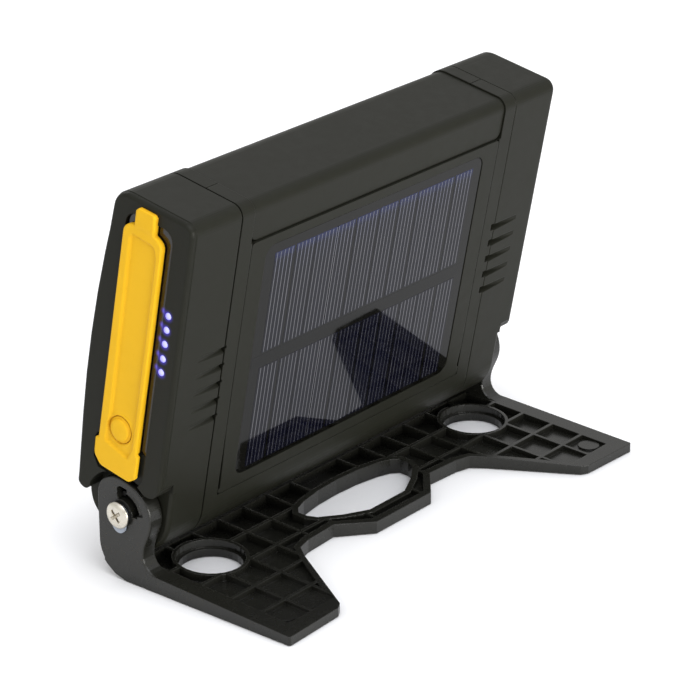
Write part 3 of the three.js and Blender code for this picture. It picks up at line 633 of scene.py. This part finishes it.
def cover_outer_x(depth, height, inset):
    """X of the outer face; inset is the distance in from the outline."""
    recess = inside_distance(RECESS_OUTLINE, depth, height)
    x = RIM_X + (RECESS_X - RIM_X) * smoothstep(-0.05, 0.60, recess)
    radius = from_button(depth, height)
    if radius < 6.6:
        # raised collar, then the lip falling into the hole
        x = min(x, RECESS_X - 0.26 * math.exp(-((radius - 5.0) / 0.42) ** 2))
        x += 0.28 * (1 - smoothstep(HOLE_RADIUS, HOLE_RADIUS + 0.42, radius))
    if height > TAB_BOTTOM:
        # the tab stands a little proud
        x -= (0.16 * smoothstep(TAB_BOTTOM, 98.4, height) * smoothstep(-0.6, 0.2, depth)
              * (1 - smoothstep(6.6, 7.3, depth)))
    if height < FOOT_TOP:
        # the foot sits a little lower
        x += 0.06 * (1 - smoothstep(20.0, FOOT_TOP, height))
    if inset < EDGE_ROUND:
        part = 1 - inset / EDGE_ROUND
        x += EDGE_ROUND * (1 - math.sqrt(max(0.0, 1 - part * part))) * 0.9
    return x


def cover_points(step):
    """Points over the cover, and the edges of its rim and button hole."""
    rim = resample(COVER_OUTLINE, step)
    count = len(rim)
    turns = [2 * math.pi * i / HOLE_SEGMENTS for i in range(HOLE_SEGMENTS)]
    points = rim + [(BUTTON_DEPTH + HOLE_RADIUS * math.cos(turn),
                     BUTTON_HEIGHT + HOLE_RADIUS * math.sin(turn)) for turn in turns]
    edges = [(i, (i + 1) % count) for i in range(count)]
    edges += [(count + i, count + (i + 1) % HOLE_SEGMENTS) for i in range(HOLE_SEGMENTS)]

    # triangular grid inside
    depths, heights = zip(*rim)
    low = min(heights)
    for row in range(int((max(heights) - low) / (step * ROW_PITCH)) + 1):
        height = low + row * step * ROW_PITCH
        depth = min(depths) + (0.5 * step if row % 2 else 0)
        while depth < max(depths):
            if (from_button(depth, height) > HOLE_RADIUS + 0.45 * step
                    and inside_distance(COVER_OUTLINE, depth, height) > 0.34 * step):
                points.append((depth, height))
            depth += step

    # two rows close inside the rim carry its rounding
    for i, (depth, height) in enumerate(rim):
        before, after = rim[i - 1], rim[(i + 1) % count]
        along = Vector((after[0] - before[0], after[1] - before[1])).normalized()
        for offset in (0.07, 0.2):
            point = (depth - along.y * offset, height + along.x * offset)
            if inside_distance(COVER_OUTLINE, *point) > offset * 0.6:
                points.append(point)
    return points, edges


def port_cover(step):
    points, edges = cover_points(step)
    flat, _, cut_faces, *_ = delaunay_2d_cdt([Vector(p) for p in points], edges, [], 2, 1e-5)
    kept = []
    for face in cut_faces:
        middle = sum((flat[i] for i in face), Vector((0, 0))) / len(face)
        if (from_button(*middle) >= HOLE_RADIUS - 0.02
                and inside_distance(COVER_OUTLINE, *middle) >= 0):
            kept.append(face)
    used = sorted({i for face in kept for i in face})
    index = {old: new for new, old in enumerate(used)}
    kept = [tuple(index[i] for i in face) for face in kept]

    outer, inner = [], []
    for i in used:
        depth, height = flat[i]
        inset = max(0.0, inside_distance(COVER_OUTLINE, depth, height))
        outer.append((cover_outer_x(depth, height, inset), depth, height))
        inner.append((FOOT_BACK_X if height < FOOT_BACK_TOP else FLAP_BACK_X,
                      depth, height))

    # both skins, then walls along the open edges
    count = len(used)
    faces = kept + [tuple(count + i for i in reversed(face)) for face in kept]
    sides = dict.fromkeys(side for face in kept for side in zip(face, face[1:] + face[:1]))
    faces += [(b, a, count + a, count + b) for a, b in sides if (b, a) not in sides]
    return make("rubber_port_cover", outer + inner, faces, "yellow_rubber",
                sharp=50, weighted=False)


cover = port_cover(step=0.46)
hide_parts("port_flap", "flap_anchor")
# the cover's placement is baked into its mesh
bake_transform(cover)

BUTTON_PROFILE = [                            # (distance out, radius)
    (88.2, 0), (88.2, 3.9), (88.2, 4.3), (89.06, 4.34), (89.12, 4.28), (89.16, 4.1),
    (89.22, 3.86), (89.42, 3.70), (89.66, 3.60), (89.80, 3.40), (89.88, 3.05),
    (89.93, 2.4), (89.95, 1.4), (89.96, 0),
]
button = lathe("rubber_button", BUTTON_PROFILE, BUTTON_CENTRE, "yellow_rubber", "button",
               sharp=60)
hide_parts("power_button")


# ------------------------------------------------------------------ indicator domes
DOME_RADIUS, DOME_BASE, DOME_RISE = 1.18, 88.35, 0.62
DOME_PROFILE = [(83.0, 0), (83.0, 1.6), (84.2, 1.6), (84.3, DOME_RADIUS),
                (DOME_BASE, DOME_RADIUS)]
for angle in (15, 30, 45, 60, 75):
    DOME_PROFILE.append((DOME_BASE + DOME_RISE * math.sin(math.radians(angle)),
                         DOME_RADIUS * math.cos(math.radians(angle))))
DOME_PROFILE.append((DOME_BASE + DOME_RISE, 0))

for i, height in enumerate(INDICATOR_HEIGHTS, start=1):
    dome = lathe(f"indicator_dome_{i}", DOME_PROFILE, (INDICATOR_DEPTH, height),
                 "indicator_lit", "housing", segments=28, sharp=60)
    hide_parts(f"indicator_led_{i}")


# ------------------------------------------------------------------ lamp emitters
EMITTER_PITCH_X, EMITTER_PITCH_HEIGHT = 15.5, 21
EMITTER_MIDDLE = 49.5                         # height of the middle row
EMITTER_TIP = 8.33
EMITTER_SEGMENTS = 16
# (depth, radius) from the base towards the tip
EMITTER_RINGS = ((7.12, 1.55), (7.5, 1.5), (7.85, 1.28), (8.12, 0.92), (8.28, 0.48))


def lamp_emitters():
    """Seven by three domes in one piece."""
    count = EMITTER_SEGMENTS
    turns = [2 * math.pi * j / count for j in range(count)]
    points, faces = [], []
    for column in range(-3, 4):
        for row in range(-1, 2):
            x = column * EMITTER_PITCH_X
            height = EMITTER_MIDDLE + row * EMITTER_PITCH_HEIGHT
            rings = []
            for depth, radius in EMITTER_RINGS:
                rings.append(range(len(points), len(points) + count))
                points += [(x + radius * math.cos(turn), depth,
                            height + radius * math.sin(turn)) for turn in turns]
            tip = len(points)
            points.append((x, EMITTER_TIP, height))
            for a, b in zip(rings, rings[1:]):
                faces += [(a[j], a[(j + 1) % count], b[(j + 1) % count], b[j])
                          for j in range(count)]
            last = rings[-1]
            faces += [(last[j], last[(j + 1) % count], tip) for j in range(count)]
            faces.append(tuple(reversed(rings[0])))
    make("lamp_emitters", points, faces, "lamp_emitter", "housing",
         sharp=60, weighted=False)


lamp_emitters()


# ------------------------------------------------------------------ pivot screws
SCREW_SEAT = 88.6                             # distance out to which the head is measured
SCREW_SHANK = [(70.2, 0), (70.2, 1.2), (70.5, 1.45), (82.8, 1.45), (82.8, 2.0)]
SCREW_HEAD = [                                # (distance out from the seat, radius)
    (-0.2, 2.0), (-0.2, 1.5), (0.86, 1.5), (0.86, 4.1), (0.92, 4.28), (1.05, 4.38),
    (1.3, 4.4), (1.52, 4.33), (1.78, 4.12), (2.02, 3.72), (2.2, 3.2), (2.36, 2.5),
    (2.46, 1.7), (2.5, 0.9), (2.52, 0),
]
# each blade of the cross recess: (distance out from the seat, half length, half width)
BLADE = ((2.9, 2.75, 0.56), (2.2, 2.25, 0.48), (1.0, 0.85, 0.34))


def recess_blade(name, side, turn):
    """One tapered blade that cuts half of the cross recess."""
    cos, sin = math.cos(turn), math.sin(turn)
    points = []
    for out, length, width in BLADE:
        for a, b in ((-length, -width), (length, -width), (length, width),
                     (-length, width)):
            points.append((side * (SCREW_SEAT + out), a * cos - b * sin,
                           a * sin + b * cos))
    faces = [(0, 1, 2, 3), (11, 10, 9, 8)]
    for k in (0, 4):
        faces += [(k + i, k + 4 + i, k + 4 + (i + 1) % 4, k + (i + 1) % 4)
                  for i in range(4)]
    return make(name, points, faces, "screw_nickel", weighted=False)


def pivot_screw(side, tag, turn):
    """A pan-head screw with a cross recess turned by the given angle."""
    profile = SCREW_SHANK + [(SCREW_SEAT + out, radius) for out, radius in SCREW_HEAD]
    screw = lathe(f"pivot_screw_{tag}_fine", profile, (0, 0), "screw_nickel", None,
                  segments=72, side=side, sharp=38)
    blades = [recess_blade(f"cutter_{tag}_{k}", side, turn + k * math.pi / 2)
              for k in range(2)]
    for blade in blades:
        cut = screw.modifiers.new("cut", "BOOLEAN")
        cut.operation, cut.object, cut.solver = "DIFFERENCE", blade, "EXACT"
    screw.modifiers.move(screw.modifiers.find("normals"), len(screw.modifiers) - 1)
    evaluated = screw.evaluated_get(bpy.context.evaluated_depsgraph_get())
    mesh = bpy.data.meshes.new_from_object(evaluated)
    screw.modifiers.clear()
    screw.data = mesh
    for blade in blades:
        bpy.data.objects.remove(blade)
    smooth(screw, sharp=34)
    weight_normals(screw)
    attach(screw, "housing")
    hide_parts(f"pivot_screw_{tag}")


pivot_screw(-1, "left", turn=math.radians(40.7))
pivot_screw(1, "right", turn=math.radians(-35))


# ------------------------------------------------------------------ floor and world
FLOOR_HALF, FLOOR_Z = 12, -0.0003


def floor_pale():
    net = start("floor_pale")
    tone = net.mix(net.noise(scale=3, detail=3), (0.86, 0.86, 0.86), (0.90, 0.90, 0.90))
    # the camera sees the floor lit to near white, but still shaded close to the piece
    openness = net.occlusion(distance=0.04, samples=8)
    seen = net.out("LightPath", output="Is Camera Ray")
    lift = net.mul(net.mul(seen, net.math("POWER", openness, 2.0)), 0.30)
    finish(net, net.node("BsdfPrincipled", {
        "Base Color": tone, "Roughness": 0.8, "Specular IOR Level": 0.1,
        "Emission Color": (1, 1, 1), "Emission Strength": lift}))


floor_pale()
floor_mesh = bpy.data.meshes.new("floor")
floor_corners = [(x * FLOOR_HALF, y * FLOOR_HALF, FLOOR_Z)
                 for x, y in ((-1, -1), (1, -1), (1, 1), (-1, 1))]
floor_mesh.from_pydata(floor_corners, [], [(0, 1, 2, 3)])
floor_mesh.materials.append(MATERIALS["floor_pale"])
floor = bpy.data.objects.new("floor", floor_mesh)
scene = bpy.context.scene
scene.collection.objects.link(floor)

world = bpy.data.worlds.new("studio")
scene.world = world
sky = Graph(world, coordinates="Generated")
elevation = sky.out("SeparateXYZ", {0: sky.place}, output=2)
sky_colour = sky.mix(sky.ramp(elevation, low=-0.05, high=0.9),
                     (0.88, 0.87, 0.80), (1.0, 1.0, 1.05))
background = sky.out("Background", {"Color": sky_colour, "Strength": 0.72})
sky.node("OutputWorld", {"Surface": background})


# ------------------------------------------------------------------ lights
def softbox(name, place, target, size, power, colour=(1, 1, 1)):
    light = bpy.data.lights.new(name, "AREA")
    light.shape = "RECTANGLE"
    light.size, light.size_y = size
    light.energy, light.color = power, colour
    lamp = bpy.data.objects.new(name, light)
    lamp.location = place
    lamp.rotation_mode = "QUATERNION"
    lamp.rotation_quaternion = (Vector(target) - Vector(place)).to_track_quat("-Z", "Y")
    lamp.visible_camera = False
    scene.collection.objects.link(lamp)


softbox("key", place=(-0.2, -0.5, 1.3), target=(0, 0, 0.05), size=(1.2, 1.0), power=8.2,
        colour=(0.96, 0.985, 1.04))
softbox("side", place=(-1.3, 0.1, 0.7), target=(0, 0, 0.06), size=(0.9, 0.9), power=1.6,
        colour=(1.0, 0.99, 0.96))
softbox("back", place=(0.6, 1.3, 0.9), target=(0, 0, 0.06), size=(1.2, 0.8), power=2.2)
softbox("low_front", place=(-0.30, -1.5, 0.18), target=(0, 0, 0.04), size=(0.9, 0.34),
        power=15.5, colour=(1.0, 0.99, 0.95))


# ------------------------------------------------------------------ camera
CAMERA_PLACE = (-0.6879761939, -0.5853102535, 0.4305323107)
CAMERA_TURN = Matrix((                        # columns: the camera's right, up and back
    (0.6352741877, 0.3026727197, -0.7105039980),
    (-0.7722828580, 0.2460818446, -0.5856815799),
    (-0.0024277022, 0.9207784481, 0.3900783970),
))
lens = bpy.data.cameras.new("camera")
lens.sensor_fit = "HORIZONTAL"
lens.sensor_width = 36.0
lens.lens = 155.89753714
lens.clip_start, lens.clip_end = 0.05, 60
camera = bpy.data.objects.new("camera", lens)
camera.matrix_world = Matrix.Translation(CAMERA_PLACE) @ CAMERA_TURN.to_4x4()
scene.collection.objects.link(camera)
scene.camera = camera
scene.view_settings.view_transform = "Standard"
scene.view_settings.look = "None"

bpy.context.view_layer.update()
